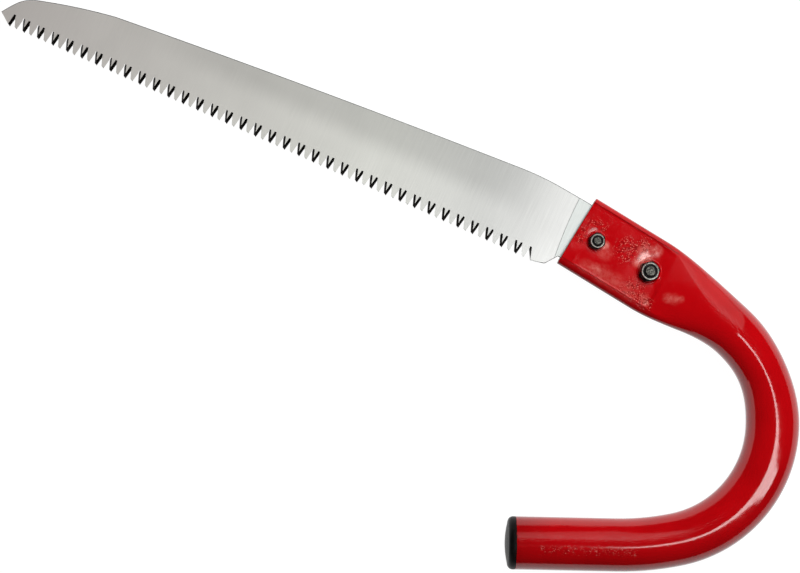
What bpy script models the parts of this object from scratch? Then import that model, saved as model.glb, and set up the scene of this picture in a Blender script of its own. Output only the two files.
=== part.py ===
# Pruning saw with a bent tube handle.
# The saw lies flat: X runs along the grip, Y across the hook of the handle, Z is up.
# Every length is in metres and every angle in degrees.

import math

import bmesh
import bpy
from mathutils import Vector

for leftover in list(bpy.data.objects):
    bpy.data.objects.remove(leftover, do_unlink=True)

# Handle tube
TUBE_RADIUS = 0.0143
TUBE_WALL = 0.00125
GRIP_LENGTH = 0.0543
GRIP_EASE_RADIUS = 0.1500
GRIP_EASE_ANGLE = 13.0
LOWER_BEND_RADIUS = 0.0645
LOWER_BEND_ANGLE = 76.0
UPPER_BEND_RADIUS = 0.0675
UPPER_BEND_ANGLE = 53.0
SOCKET_EASE_RADIUS = 0.1650
SOCKET_EASE_ANGLE = 7.7
SOCKET_LENGTH = 0.0742
UPPER_BEND_SQUEEZE = 0.0009
RING_POINTS = 40
BEND_STEP_ANGLE = 6.0
SOCKET_STEP = 0.0045

# Flattened end of the tube, measured from its mouth
SOCKET_WIDTH = 0.0412
SOCKET_EDGE_THICKNESS = 0.0064
EDGE_BEAD_RAMP = 0.0030
FLAT_LENGTH = 0.0460
ROUNDING_LENGTH = 0.0560
PANEL_LENGTH = 0.0520
PANEL_FADE = 0.0260

# Clearances
PLATE_GAP = 0.0003
BOLT_HOLE_GAP = 0.0003
SEAT_GAP = 0.0003
THREAD_GAP = 0.0001
PLUG_GAP = 0.0003
TANG_TOP_GAP = 0.0031
TANG_FOOT_GAP = 0.0022

# Blade, in a frame with its origin at the heel tooth's tip and u along the tooth tips to the nose
BLADE_THICKNESS = 0.0015
GRIND_DEPTH = 0.0001
HEEL_AHEAD_OF_MOUTH = 0.0130
HEEL_BELOW_AXIS = 0.0267
TOOTH_LINE_ANGLE = 7.3
TOOTH_COUNT = 73
TOOTH_PITCH = 0.0043
TOOTH_DEPTH = 0.0069
NOSE_FLANK_RUN = 0.0033
HEEL_FLANK_RUN = 0.0010
FLANK_BEND_RISE = 0.0052
NOSE_BEND_RUN = 0.0031
HEEL_BEND_RUN = 0.00107
TIP_FACET_RUN = 0.0015
TIP_FACET_RISE = 0.0008
# A tooth's core is what the bevels leave of one face
CORE_NOSE_RUN = 0.0024
CORE_HEEL_RUN = 0.00025
CORE_TIP_RUN = 0.0010
CORE_TIP_RISE = 0.0027
CORE_TIP_WIDTH = 0.0002
NOSE_REACH = 0.0072
NOSE_HEIGHT = 0.0054
BROW_SETBACK = 0.0065
BROW_HEIGHT = 0.0185
CREST_SETBACK = 0.0508
CREST_HEIGHT = 0.0282
NOSE_BULGE = 0.0016
BROW_BULGE = 0.0008
BACK_BULGE = 0.0010
SHOULDER_AHEAD = 0.0140
SHOULDER_HEIGHT = 0.0444
SHOULDER_ROUNDING = 0.0150
HEEL_EDGE_LENGTH = 0.0076
HEEL_EDGE_RISE = 0.0015
HEEL_ROUNDING = 0.0008
NECK_AHEAD = 0.0016
TANG_LENGTH = 0.0540
TANG_END_TAPER = 0.0040
TANG_END_ROUNDING = 0.0080
GRIND_LINE_TOP = 0.0092
GRIND_LINE_FOOT = 0.0032
GRIND_LINE_BULGE = 0.0009
CORNER_STEPS = 5
SHOULDER_STEPS = 8
BACK_STEPS = 14
NOSE_STEPS = 6
GRIND_LINE_STEPS = 12

# Bolts and lock nuts, placed from the mouth along the flat end and off its axis
FRONT_BOLT_RADIUS = 0.0025
FRONT_NUT_HEIGHT = 0.0050
FRONT_HEX_HEIGHT = 0.0036
FRONT_INSERT_WIDTH = 0.0007
FRONT_NUT_SHOULDER = 0.0002
FRONT_HEAD_HEIGHT = 0.0035
FRONT_BOLT_END = 0.0008
FRONT_FROM_MOUTH = 0.0120
FRONT_OFF_AXIS = 0.0008
FRONT_NUT_TURN = 1.5
REAR_BOLT_RADIUS = 0.0030
REAR_NUT_HEIGHT = 0.0060
REAR_HEX_HEIGHT = 0.0044
REAR_INSERT_WIDTH = 0.0011
REAR_NUT_SHOULDER = 0.0003
REAR_HEAD_HEIGHT = 0.0040
REAR_BOLT_END = 0.0010
REAR_FROM_MOUTH = 0.0446
REAR_OFF_AXIS = 0.0016
REAR_NUT_TURN = 45.5
HEX_OVERSIZE = 1.05
CHAMFER_START = 0.97
COLLAR_WALL = 0.0004
COLLAR_LIP = 0.0003
INSERT_HEIGHT = 0.0011
END_CHAMFER = 0.0005
TURNED_STEPS = 36

# End cap
CAP_HEAD_LENGTH = 0.0054
CAP_RIM_ROUNDING = 0.0029
CAP_DOME_HEIGHT = 0.0014
CAP_FLAT_SHARE = 0.2
CAP_CURVE_STEPS = 5
CAP_STEM_LENGTH = 0.0160
CAP_STEM_WALL = 0.0022
CAP_FACE_THICKNESS = 0.0030
CAP_RIB_DEPTH = 0.0009
CAP_RIB_WIDTH = 0.0014
CAP_RIB_SPACING = 0.0046
CAP_RIB_COUNT = 3

SEAM_MERGE = 0.000005

parts = bpy.data.collections.new("pruning_saw")
cutters = bpy.data.collections.new("cutters")
bpy.context.scene.collection.children.link(parts)
bpy.context.scene.collection.children.link(cutters)


def add_empty(name, parent=None, location=(0, 0, 0), turn=0.0):
    empty = bpy.data.objects.new(name, None)
    parts.objects.link(empty)
    empty.parent = parent
    empty.location = location
    empty.rotation_euler = (0, 0, math.radians(turn))
    return empty


def add_object(name, build, parent, location=(0, 0, 0), rotation=(0, 0, 0), cutter=False):
    mesh = bpy.data.meshes.new(name)
    build.to_mesh(mesh)
    build.free()
    thing = bpy.data.objects.new(name, mesh)
    (cutters if cutter else parts).objects.link(thing)
    thing.parent = parent
    thing.location = location
    thing.rotation_euler = rotation
    if cutter:
        thing.hide_render = True
        thing.display_type = "WIRE"
    return thing


def give_material(thing, colour, roughness, metallic, sharp_angle=30.0):
    material = bpy.data.materials.new(thing.name + "_material")
    material.use_nodes = True
    shader = material.node_tree.nodes["Principled BSDF"]
    shader.inputs["Base Color"].default_value = (*colour, 1.0)
    shader.inputs["Roughness"].default_value = roughness
    shader.inputs["Metallic"].default_value = metallic
    thing.data.materials.append(material)
    thing.data.shade_smooth()
    thing.data.set_sharp_from_angle(angle=math.radians(sharp_angle))


def add_boolean(thing, other, operation):
    modifier = thing.modifiers.new(operation.title() + "_" + other.name, "BOOLEAN")
    modifier.object = other
    modifier.operation = operation
    modifier.solver = "EXACT"


def loft(rings, closed_ends=True):
    build = bmesh.new()
    layers = [[build.verts.new(point) for point in ring] for ring in rings]
    count = len(rings[0])
    for lower, upper in zip(layers, layers[1:]):
        for index in range(count):
            after = (index + 1) % count
            build.faces.new((lower[index], lower[after], upper[after], upper[index]))
    if closed_ends:
        build.faces.new(reversed(layers[0]))
        build.faces.new(layers[-1])
    return build


def plate(outline_low, outline_high, z_low, z_high):
    """A solid between two outlines of the blade's plane, whose u runs against the object's X."""
    low = [(-point.x, point.y, z_low) for point in outline_low]
    high = [(-point.x, point.y, z_high) for point in outline_high]
    build = loft([low, high])
    bmesh.ops.recalc_face_normals(build, faces=build.faces)
    return build


def turned(name, profile, parent, location=(0, 0, 0), rotation=(0, 0, 0), closed=False):
    build = bmesh.new()
    points = [build.verts.new((radius, 0, height)) for radius, height in profile]
    for first, second in zip(points, points[1:]):
        build.edges.new((first, second))
    if closed:
        build.edges.new((points[-1], points[0]))
    thing = add_object(name, build, parent, location, rotation)
    screw = thing.modifiers.new("Turn", "SCREW")
    screw.axis = "Z"
    screw.angle = math.radians(360)
    screw.steps = TURNED_STEPS
    screw.render_steps = TURNED_STEPS
    screw.use_merge_vertices = True
    screw.merge_threshold = SEAM_MERGE
    screw.use_smooth_shade = True
    return thing


def cylinder(name, radius, low, high, parent, location=(0, 0, 0), sides=TURNED_STEPS,
             turn=0.0, cutter=True):
    build = bmesh.new()
    bmesh.ops.create_cone(build, cap_ends=True, segments=sides, radius1=radius, radius2=radius,
                          depth=high - low)
    bmesh.ops.translate(build, verts=build.verts, vec=(0, 0, (high + low) / 2))
    return add_object(name, build, parent, location, (0, 0, math.radians(turn)), cutter)


def smooth_share(value, start, length):
    share = min(max((value - start) / length, 0.0), 1.0)
    return share * share * (3 - 2 * share)


# The path of the tube's centre line

bends = ((GRIP_EASE_RADIUS, GRIP_EASE_ANGLE), (LOWER_BEND_RADIUS, LOWER_BEND_ANGLE),
         (UPPER_BEND_RADIUS, UPPER_BEND_ANGLE), (SOCKET_EASE_RADIUS, SOCKET_EASE_ANGLE))
bend_lengths = [radius * math.radians(angle) for radius, angle in bends]
path_length = GRIP_LENGTH + sum(bend_lengths) + SOCKET_LENGTH
upper_bend_start = GRIP_LENGTH + bend_lengths[0] + bend_lengths[1]
socket_heading = sum(angle for radius, angle in bends)


def path_at(distance):
    """The point and heading, in radians, at a distance along the path from the grip's end."""
    run = min(distance, GRIP_LENGTH)
    point = Vector((run, 0.0))
    heading = 0.0
    left = distance - run
    for (radius, angle), length in zip(bends, bend_lengths):
        turn = min(left, length) / radius
        point += radius * Vector((math.sin(heading + turn) - math.sin(heading),
                                  math.cos(heading) - math.cos(heading + turn)))
        heading += turn
        left = max(left - length, 0.0)
    point += left * Vector((math.cos(heading), math.sin(heading)))
    return point, heading


mouth_centre = path_at(path_length)[0]


def path_stations():
    stations = [0.0, GRIP_LENGTH]
    rounding_start = path_length - FLAT_LENGTH - ROUNDING_LENGTH
    distance = GRIP_LENGTH
    for (radius, angle), length in zip(bends, bend_lengths):
        steps = max(1, math.ceil(angle / BEND_STEP_ANGLE))
        for step in range(1, steps + 1):
            stations.append(distance + length * step / steps)
        distance += length
    stations = [station for station in stations if station < rounding_start - SOCKET_STEP / 2]
    steps = math.ceil((path_length - rounding_start) / SOCKET_STEP)
    for step in range(steps + 1):
        stations.append(rounding_start + (path_length - rounding_start) * step / steps)
    return stations


def half_section(inset):
    """Quarter of the flattened section as (across, up) points, from its edge to its middle."""
    bead = SOCKET_EDGE_THICKNESS / 2 - inset
    bead_centre = (SOCKET_WIDTH - SOCKET_EDGE_THICKNESS) / 2
    panel = BLADE_THICKNESS / 2 + PLATE_GAP + TUBE_WALL - inset
    quarter = RING_POINTS // 4
    bead_steps = quarter // 2
    points = []
    for step in range(bead_steps + 1):
        angle = math.radians(90) * step / bead_steps
        points.append((bead_centre + bead * math.cos(angle), bead * math.sin(angle), 0.0))
    ramp_end = bead_centre - EDGE_BEAD_RAMP
    points.append((bead_centre - EDGE_BEAD_RAMP / 2, (bead + panel) / 2, 0.5))
    flat_steps = quarter - bead_steps - 1
    for step in range(flat_steps):
        points.append((ramp_end * (1 - step / (flat_steps - 1)), panel, 1.0))
    return points, bead, panel


def ring_at(distance, inset):
    """One closed ring of the tube's skin, at a distance along the path and an inset from outside."""
    point, heading = path_at(distance)
    from_mouth = path_length - distance
    roundness = smooth_share(from_mouth, FLAT_LENGTH, ROUNDING_LENGTH)
    panel_fade = smooth_share(from_mouth, PANEL_LENGTH, PANEL_FADE)
    bend_share = (distance - upper_bend_start) / bend_lengths[2]
    squeeze = UPPER_BEND_SQUEEZE * math.sin(math.radians(180) * min(max(bend_share, 0.0), 1.0)) ** 2
    radius = TUBE_RADIUS - inset
    quarter_points, bead, panel = half_section(inset)
    quarter = RING_POINTS // 4
    corner = []
    for index, (flat_across, flat_up, panel_weight) in enumerate(quarter_points):
        angle = math.radians(90) * index / quarter
        across = (1 - roundness) * flat_across + roundness * (radius - squeeze) * math.cos(angle)
        full_up = (1 - roundness) * max(flat_up, bead if panel_weight else 0.0)
        full_up += roundness * radius * math.sin(angle)
        pressed_up = (1 - panel_weight) * bead + panel_weight * panel
        pressed = (1 - panel_fade) if panel_weight else 0.0
        corner.append((across, full_up * (1 - pressed) + pressed_up * pressed))
    ring = corner[:-1]
    ring += [(-across, up) for across, up in reversed(corner)][:-1]
    ring += [(-across, -up) for across, up in corner][:-1]
    ring += [(across, -up) for across, up in reversed(corner)][:-1]
    side = Vector((math.sin(heading), -math.cos(heading)))
    return [(point.x + side.x * across, point.y + side.y * across, up) for across, up in ring]


# The blade's outline, in its own frame

def meet(first, first_way, second, second_way):
    """The crossing point of two lines in the plane."""
    cross = first_way.x * second_way.y - first_way.y * second_way.x
    gap = second - first
    return first + first_way * ((gap.x * second_way.y - gap.y * second_way.x) / cross)


def bowed(start, end, bulge, steps):
    """Points from start to just before end, bowed out to the left of the way along them."""
    way = end - start
    out = Vector((-way.y, way.x)).normalized()
    points = []
    for step in range(steps):
        share = step / steps
        points.append(start + way * share + out * (4 * bulge * share * (1 - share)))
    return points


def rounded(before, corner, after, reach, steps=CORNER_STEPS):
    """A corner softened by a curve that starts and ends at a reach from it."""
    start = corner + (before - corner).normalized() * reach
    end = corner + (after - corner).normalized() * reach
    points = []
    for step in range(steps + 1):
        share = step / steps
        points.append(start * (1 - share) ** 2 + corner * (2 * share * (1 - share)) + end * share ** 2)
    return points


def from_socket(ahead, above):
    """A place given ahead of the mouth and above the flat end's axis, in the blade's frame."""
    turn = math.radians(TOOTH_LINE_ANGLE)
    ahead -= HEEL_AHEAD_OF_MOUTH
    above += HEEL_BELOW_AXIS
    return Vector((ahead * math.cos(turn) - above * math.sin(turn),
                   ahead * math.sin(turn) + above * math.cos(turn)))


def tooth_flanks(tip, bevelled):
    """One tooth's nose and heel flanks on one face, each from its top, over its bend, to its foot."""
    if bevelled:
        nose_top = tip + Vector((CORE_NOSE_RUN, TOOTH_DEPTH))
        nose_foot = tip + Vector((CORE_TIP_RUN + CORE_TIP_WIDTH / 2, CORE_TIP_RISE))
        heel_top = tip + Vector((CORE_HEEL_RUN, TOOTH_DEPTH))
        heel_foot = tip + Vector((CORE_TIP_RUN - CORE_TIP_WIDTH / 2, CORE_TIP_RISE))
        share = (FLANK_BEND_RISE - CORE_TIP_RISE) / (TOOTH_DEPTH - CORE_TIP_RISE)
        nose_bend = nose_foot.lerp(nose_top, share)
        heel_bend = heel_foot.lerp(heel_top, share)
    else:
        nose_top = tip + Vector((NOSE_FLANK_RUN, TOOTH_DEPTH))
        nose_bend = tip + Vector((NOSE_BEND_RUN, FLANK_BEND_RISE))
        nose_foot = tip + Vector((TIP_FACET_RUN, TIP_FACET_RISE))
        heel_top = tip + Vector((-HEEL_FLANK_RUN, TOOTH_DEPTH))
        heel_bend = tip + Vector((-HEEL_BEND_RUN, FLANK_BEND_RISE))
        heel_foot = tip
    return [nose_top, nose_bend, nose_foot], [heel_top, heel_bend, heel_foot]


def blade_outline(bevelled_remainder):
    """The outline of one face, with the teeth of one parity ground back on both flanks."""
    last = TOOTH_COUNT - 1
    nose = Vector((last * TOOTH_PITCH + NOSE_REACH, NOSE_HEIGHT))
    heel_toe = Vector((-HEEL_EDGE_LENGTH, HEEL_EDGE_RISE))
    points = []
    for index in range(last, -1, -1):
        tip = Vector((index * TOOTH_PITCH, 0.0))
        bevelled = index % 2 == bevelled_remainder
        nose_flank, heel_flank = tooth_flanks(tip, bevelled)
        if index == last:
            foot = heel_flank[-1]
            heel_flank[-1] = meet(tip, nose - tip, foot, heel_flank[1] - foot)
            nose_flank = []
        if index == 0:
            foot = nose_flank[-1]
            nose_flank[-1] = tip
            if bevelled:
                nose_flank[-1] = meet(tip, heel_toe - tip, foot, nose_flank[1] - foot)
            heel_flank = []
        points += nose_flank + heel_flank[::-1]
    tang_above = SOCKET_WIDTH / 2 - TUBE_WALL - TANG_TOP_GAP
    tang_below = SOCKET_WIDTH / 2 - TUBE_WALL - TANG_FOOT_GAP
    neck_foot = from_socket(NECK_AHEAD, -tang_below)
    neck_top = from_socket(NECK_AHEAD, tang_above)
    tang_foot = from_socket(-TANG_LENGTH, TANG_END_TAPER - tang_below)
    tang_top = from_socket(-TANG_LENGTH, tang_above - TANG_END_TAPER)
    shoulder = Vector((SHOULDER_AHEAD, SHOULDER_HEIGHT))
    crest = Vector((last * TOOTH_PITCH - CREST_SETBACK, CREST_HEIGHT))
    brow = Vector((last * TOOTH_PITCH - BROW_SETBACK, BROW_HEIGHT))
    points += rounded(Vector((0.0, 0.0)), heel_toe, neck_foot, HEEL_ROUNDING)
    points.append(neck_foot)
    points += rounded(neck_foot, tang_foot, tang_top, TANG_END_ROUNDING)
    points += rounded(tang_foot, tang_top, neck_top, TANG_END_ROUNDING)
    points.append(neck_top)
    shoulder_curve = rounded(neck_top, shoulder, crest, SHOULDER_ROUNDING, SHOULDER_STEPS)
    points += shoulder_curve[:-1]
    points += bowed(shoulder_curve[-1], crest, BACK_BULGE, BACK_STEPS)
    points += bowed(crest, brow, BROW_BULGE, NOSE_STEPS)
    points += bowed(brow, nose, NOSE_BULGE, NOSE_STEPS)
    points.append(nose)
    return points


def grind_slab():
    """The region that is ground thinner: everything ahead of a bowed line near the mouth."""
    half = SOCKET_WIDTH
    turn = (GRIND_LINE_TOP - GRIND_LINE_FOOT) / SOCKET_WIDTH
    middle = (GRIND_LINE_TOP + GRIND_LINE_FOOT) / 2
    top = from_socket(middle + turn * half, half)
    foot = from_socket(middle - turn * half, -half)
    far = TOOTH_COUNT * TOOTH_PITCH + half
    line = bowed(top, foot, -GRIND_LINE_BULGE * (2 * half / SOCKET_WIDTH) ** 2, GRIND_LINE_STEPS)
    return line + [foot, Vector((far, foot.y)), Vector((far, top.y))]


# Frames: the socket frame's X runs from the mouth into the handle, and its Y to the blade's back

origin = add_empty("saw_origin")
socket_frame = add_empty("socket_frame", origin, (mouth_centre.x, mouth_centre.y, 0),
                         socket_heading + 180)
panel_face = BLADE_THICKNESS / 2 + PLATE_GAP + TUBE_WALL

# Handle tube: an outer and an inner skin joined at both ends

stations = path_stations()
outer_rings = [ring_at(station, 0.0) for station in stations]
inner_rings = [ring_at(station, TUBE_WALL) for station in reversed(stations)]
tube_build = loft(outer_rings + inner_rings + outer_rings[:1], closed_ends=False)
bmesh.ops.remove_doubles(tube_build, verts=tube_build.verts, dist=SEAM_MERGE)
bmesh.ops.recalc_face_normals(tube_build, faces=tube_build.faces)
handle_tube = add_object("handle_tube", tube_build, origin)
give_material(handle_tube, (0.42, 0.006, 0.007), 0.25, 0.0)

# Blade

blade_solid = plate(blade_outline(1), blade_outline(0), -BLADE_THICKNESS / 2, BLADE_THICKNESS / 2)
blade_place = (-HEEL_AHEAD_OF_MOUTH, -HEEL_BELOW_AXIS, 0)
blade_turn = (0, 0, math.radians(TOOTH_LINE_ANGLE))
blade = add_object("blade", blade_solid, socket_frame, blade_place, blade_turn)
give_material(blade, (0.55, 0.54, 0.52), 0.35, 1.0)
for side, name in ((1, "grind_above"), (-1, "grind_below")):
    ground_face = side * (BLADE_THICKNESS / 2 - GRIND_DEPTH)
    clear_of_face = side * BLADE_THICKNESS
    slab = plate(grind_slab(), grind_slab(), ground_face, clear_of_face)
    cutter = add_object(name, slab, socket_frame, blade_place, blade_turn, cutter=True)
    add_boolean(blade, cutter, "DIFFERENCE")

# Bolts, lock nuts and the nylon rings in the nuts' collars


def add_fastening(label, place, turn, bolt_radius, insert_width, nut_shoulder, nut_height,
                  hex_height, head_height, bolt_end):
    bore = bolt_radius + THREAD_GAP
    ring_bore = bore + insert_width + THREAD_GAP
    collar_radius = ring_bore + COLLAR_WALL
    flat = collar_radius + nut_shoulder
    across_flats = 2 * flat
    corner = flat / math.cos(math.radians(30))
    beyond = corner * HEX_OVERSIZE
    chamfer_radius = flat * CHAMFER_START
    chamfer = (beyond - chamfer_radius) * math.tan(math.radians(30))
    nut_foot = panel_face + SEAT_GAP
    nut_top = nut_foot + nut_height
    hex_top = nut_foot + hex_height
    ring_roof = nut_top - COLLAR_LIP
    ring_floor = ring_roof - INSERT_HEIGHT - 2 * THREAD_GAP
    nut_profile = [
        (ring_bore - COLLAR_WALL, nut_top), (collar_radius - COLLAR_LIP, nut_top),
        (collar_radius, nut_top - COLLAR_LIP), (collar_radius, hex_top), (chamfer_radius, hex_top),
        (beyond, hex_top - chamfer), (beyond, nut_foot + chamfer), (chamfer_radius, nut_foot),
        (bore + END_CHAMFER, nut_foot), (bore, nut_foot + END_CHAMFER), (bore, ring_floor),
        (ring_bore, ring_floor), (ring_bore, ring_roof), (ring_bore - COLLAR_WALL, ring_roof)]
    nut = turned(label + "_nut", nut_profile, socket_frame, place, closed=True)
    hexagon = cylinder(label + "_nut_hexagon", corner, nut_foot - across_flats,
                       nut_top + across_flats, socket_frame, place, 6, turn)
    add_boolean(nut, hexagon, "INTERSECT")
    give_material(nut, (0.06, 0.06, 0.062), 0.45, 0.9)

    ring_profile = [
        (bore, ring_roof - THREAD_GAP), (ring_bore - THREAD_GAP, ring_roof - THREAD_GAP),
        (ring_bore - THREAD_GAP, ring_floor + THREAD_GAP), (bore, ring_floor + THREAD_GAP)]
    ring = turned(label + "_nut_insert", ring_profile, socket_frame, place, closed=True)
    give_material(ring, (0.012, 0.012, 0.013), 0.5, 0.0)

    head_seat = -panel_face - SEAT_GAP
    head_foot = head_seat - head_height
    bolt_top = nut_top + bolt_end
    bolt_profile = [
        (0, bolt_top), (bolt_radius - END_CHAMFER, bolt_top), (bolt_radius, bolt_top - END_CHAMFER),
        (bolt_radius, head_seat), (chamfer_radius, head_seat), (beyond, head_seat - END_CHAMFER / 2),
        (beyond, head_foot + chamfer), (chamfer_radius, head_foot), (0, head_foot)]
    bolt = turned(label + "_bolt", bolt_profile, socket_frame, place)
    head_hexagon = cylinder(label + "_bolt_hexagon", corner, head_foot - across_flats,
                            bolt_top + across_flats, socket_frame, place, 6, turn)
    add_boolean(bolt, head_hexagon, "INTERSECT")
    give_material(bolt, (0.06, 0.06, 0.062), 0.45, 0.9)

    hole = cylinder(label + "_hole", bolt_radius + BOLT_HOLE_GAP, head_foot, nut_top,
                    socket_frame, place)
    add_boolean(handle_tube, hole, "DIFFERENCE")
    add_boolean(blade, hole, "DIFFERENCE")


add_fastening("front", (FRONT_FROM_MOUTH, FRONT_OFF_AXIS, 0), FRONT_NUT_TURN, FRONT_BOLT_RADIUS,
              FRONT_INSERT_WIDTH, FRONT_NUT_SHOULDER, FRONT_NUT_HEIGHT, FRONT_HEX_HEIGHT,
              FRONT_HEAD_HEIGHT, FRONT_BOLT_END)
add_fastening("rear", (REAR_FROM_MOUTH, REAR_OFF_AXIS, 0), REAR_NUT_TURN, REAR_BOLT_RADIUS,
              REAR_INSERT_WIDTH, REAR_NUT_SHOULDER, REAR_NUT_HEIGHT, REAR_HEX_HEIGHT,
              REAR_HEAD_HEIGHT, REAR_BOLT_END)

# End cap: a turned plug whose own Z points out of the grip

cap_top = SEAT_GAP + CAP_HEAD_LENGTH
rib_radius = TUBE_RADIUS - TUBE_WALL - PLUG_GAP
core_radius = rib_radius - CAP_RIB_DEPTH
hollow_radius = core_radius - CAP_STEM_WALL
dome_edge = TUBE_RADIUS - CAP_RIM_ROUNDING
cap_profile = [(0, cap_top)]
for step in range(CAP_CURVE_STEPS):
    share = CAP_FLAT_SHARE + (1 - CAP_FLAT_SHARE) * step / (CAP_CURVE_STEPS - 1)
    drop = CAP_DOME_HEIGHT * (share ** 2 - CAP_FLAT_SHARE ** 2)
    cap_profile.append((dome_edge * share, cap_top - drop))
rim_top = cap_profile[-1][1]
for step in range(1, CAP_CURVE_STEPS + 1):
    angle = math.radians(90) * step / CAP_CURVE_STEPS
    cap_profile.append((dome_edge + CAP_RIM_ROUNDING * math.sin(angle),
                        rim_top - CAP_RIM_ROUNDING * (1 - math.cos(angle))))
cap_profile += [(TUBE_RADIUS, SEAT_GAP), (core_radius, SEAT_GAP)]
for index in range(CAP_RIB_COUNT):
    rib_top = -CAP_RIB_SPACING * (index + 0.5)
    cap_profile += [(core_radius, rib_top), (rib_radius, rib_top - CAP_RIB_WIDTH / 2),
                    (rib_radius, rib_top - CAP_RIB_WIDTH), (core_radius, rib_top - CAP_RIB_WIDTH * 1.5)]
cap_profile += [(core_radius, -CAP_STEM_LENGTH), (hollow_radius, -CAP_STEM_LENGTH),
                (hollow_radius, cap_top - CAP_FACE_THICKNESS), (0, cap_top - CAP_FACE_THICKNESS)]
end_cap = turned("end_cap", cap_profile, origin, rotation=(0, math.radians(-90), 0))
give_material(end_cap, (0.015, 0.015, 0.016), 0.5, 0.0)

# The origin goes to the middle of the underside of the whole saw's box

bpy.context.view_layer.update()
graph = bpy.context.evaluated_depsgraph_get()
corners = []
for thing in parts.objects:
    if thing.type == "MESH":
        shape = thing.evaluated_get(graph)
        corners += [shape.matrix_world @ vertex.co for vertex in shape.data.vertices]
lowest = Vector(min(corner[axis] for corner in corners) for axis in range(3))
highest = Vector(max(corner[axis] for corner in corners) for axis in range(3))
middle = (lowest + highest) / 2
origin.location = (-middle.x, -middle.y, -lowest.z)
bpy.context.view_layer.update()
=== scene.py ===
import math

import bmesh
import bpy
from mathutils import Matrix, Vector, noise


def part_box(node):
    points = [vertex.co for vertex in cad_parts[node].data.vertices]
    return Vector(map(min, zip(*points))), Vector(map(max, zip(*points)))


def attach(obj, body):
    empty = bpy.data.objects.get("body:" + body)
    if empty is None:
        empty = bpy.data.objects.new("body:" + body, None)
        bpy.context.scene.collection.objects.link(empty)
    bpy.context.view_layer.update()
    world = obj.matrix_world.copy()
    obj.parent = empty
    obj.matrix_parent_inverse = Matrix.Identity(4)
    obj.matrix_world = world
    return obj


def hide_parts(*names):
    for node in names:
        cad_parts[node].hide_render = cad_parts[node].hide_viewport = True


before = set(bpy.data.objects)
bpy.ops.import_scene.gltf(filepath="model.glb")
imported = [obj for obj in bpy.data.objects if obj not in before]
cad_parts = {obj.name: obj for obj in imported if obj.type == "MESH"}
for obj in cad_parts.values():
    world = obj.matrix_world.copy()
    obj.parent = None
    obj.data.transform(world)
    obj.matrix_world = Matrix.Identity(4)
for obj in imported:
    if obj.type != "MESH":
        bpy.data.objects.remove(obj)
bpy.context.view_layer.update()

# A pruning saw lying flat: the grip runs along X, the hook opens towards -X
# and the blade points to -X and +Y. Lengths are in metres, angles in degrees.

mm = 0.001
print("frame loaded, modelling the saw")


def ease(value, start, length):
    share = min(max((value - start) / length, 0.0), 1.0)
    return share * share * (3 - 2 * share)


def mix(first, second, share):
    return first * (1 - share) + second * share


# Shader helpers: a Flow is a socket that can be used in sums, a Finish is a material being built.

class Flow:
    def __init__(self, finish, socket):
        self.finish = finish
        self.socket = socket

    def combine(self, operation, first, second):
        return self.finish.node("ShaderNodeMath", {"operation": operation}, {0: first, 1: second})

    def __add__(self, other):
        return self.combine("ADD", self, other)

    def __radd__(self, other):
        return self.combine("ADD", other, self)

    def __sub__(self, other):
        return self.combine("SUBTRACT", self, other)

    def __rsub__(self, other):
        return self.combine("SUBTRACT", other, self)

    def __mul__(self, other):
        return self.combine("MULTIPLY", self, other)

    def __rmul__(self, other):
        return self.combine("MULTIPLY", other, self)


class Finish:
    def __init__(self, name, fixed):
        self.material = bpy.data.materials.new(name)
        self.material.use_nodes = True
        self.tree = self.material.node_tree
        self.shader = self.tree.nodes["Principled BSDF"]
        for label, value in fixed.items():
            self.shader.inputs[label].default_value = value

    def node(self, kind, settings=None, sockets=None, output=0):
        shaderNode = self.tree.nodes.new(kind)
        for label, value in (settings or {}).items():
            if label == "stops":
                ramp = shaderNode.color_ramp
                while len(ramp.elements) < len(value):
                    ramp.elements.new(0.5)
                for element, (place, tone) in zip(ramp.elements, value):
                    element.position = place
                    element.color = tone if isinstance(tone, tuple) else (tone, tone, tone, 1)
            else:
                setattr(shaderNode, label, value)
        for label, value in (sockets or {}).items():
            if isinstance(value, Flow):
                self.tree.links.new(value.socket, shaderNode.inputs[label])
            else:
                shaderNode.inputs[label].default_value = value
        return Flow(self, shaderNode.outputs[output])

    def feed(self, label, flow):
        self.tree.links.new(flow.socket, self.shader.inputs[label])

    def place(self):
        return self.node("ShaderNodeTexCoord", output="Object")

    def grain(self, vector, scale, detail=3.0, rough=0.55):
        return self.node("ShaderNodeTexNoise", sockets={
            "Vector": vector, "Scale": scale, "Detail": detail, "Roughness": rough})

    def levels(self, flow, low, high, start=0.0, end=1.0, smooth=True):
        kind = "SMOOTHSTEP" if smooth else "LINEAR"
        return self.node("ShaderNodeMapRange", {"interpolation_type": kind}, {
            "Value": flow, "From Min": low, "From Max": high, "To Min": start, "To Max": end})

    def colours(self, share, first, second):
        return self.node("ShaderNodeMix", {"data_type": "RGBA"}, {0: share, 6: first, 7: second}, output=2)

    def away(self, point):
        return self.node("ShaderNodeVectorMath", {"operation": "DISTANCE"},
                         {0: self.place(), 1: tuple(point)}, output="Value")

    def bump(self, height, depth, strength=1.0, under=None):
        sockets = {"Height": height, "Distance": depth, "Strength": strength}
        if under is not None:
            sockets["Normal"] = under
        return self.node("ShaderNodeBump", sockets=sockets)


def along(finish, way, start):
    # distance from a point, measured one way
    offset = finish.node("ShaderNodeVectorMath", {"operation": "SUBTRACT"},
                         {0: finish.place(), 1: tuple(start)}, output="Vector")
    return finish.node("ShaderNodeVectorMath", {"operation": "DOT_PRODUCT"},
                       {0: offset, 1: tuple(way)}, output="Value")


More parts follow.
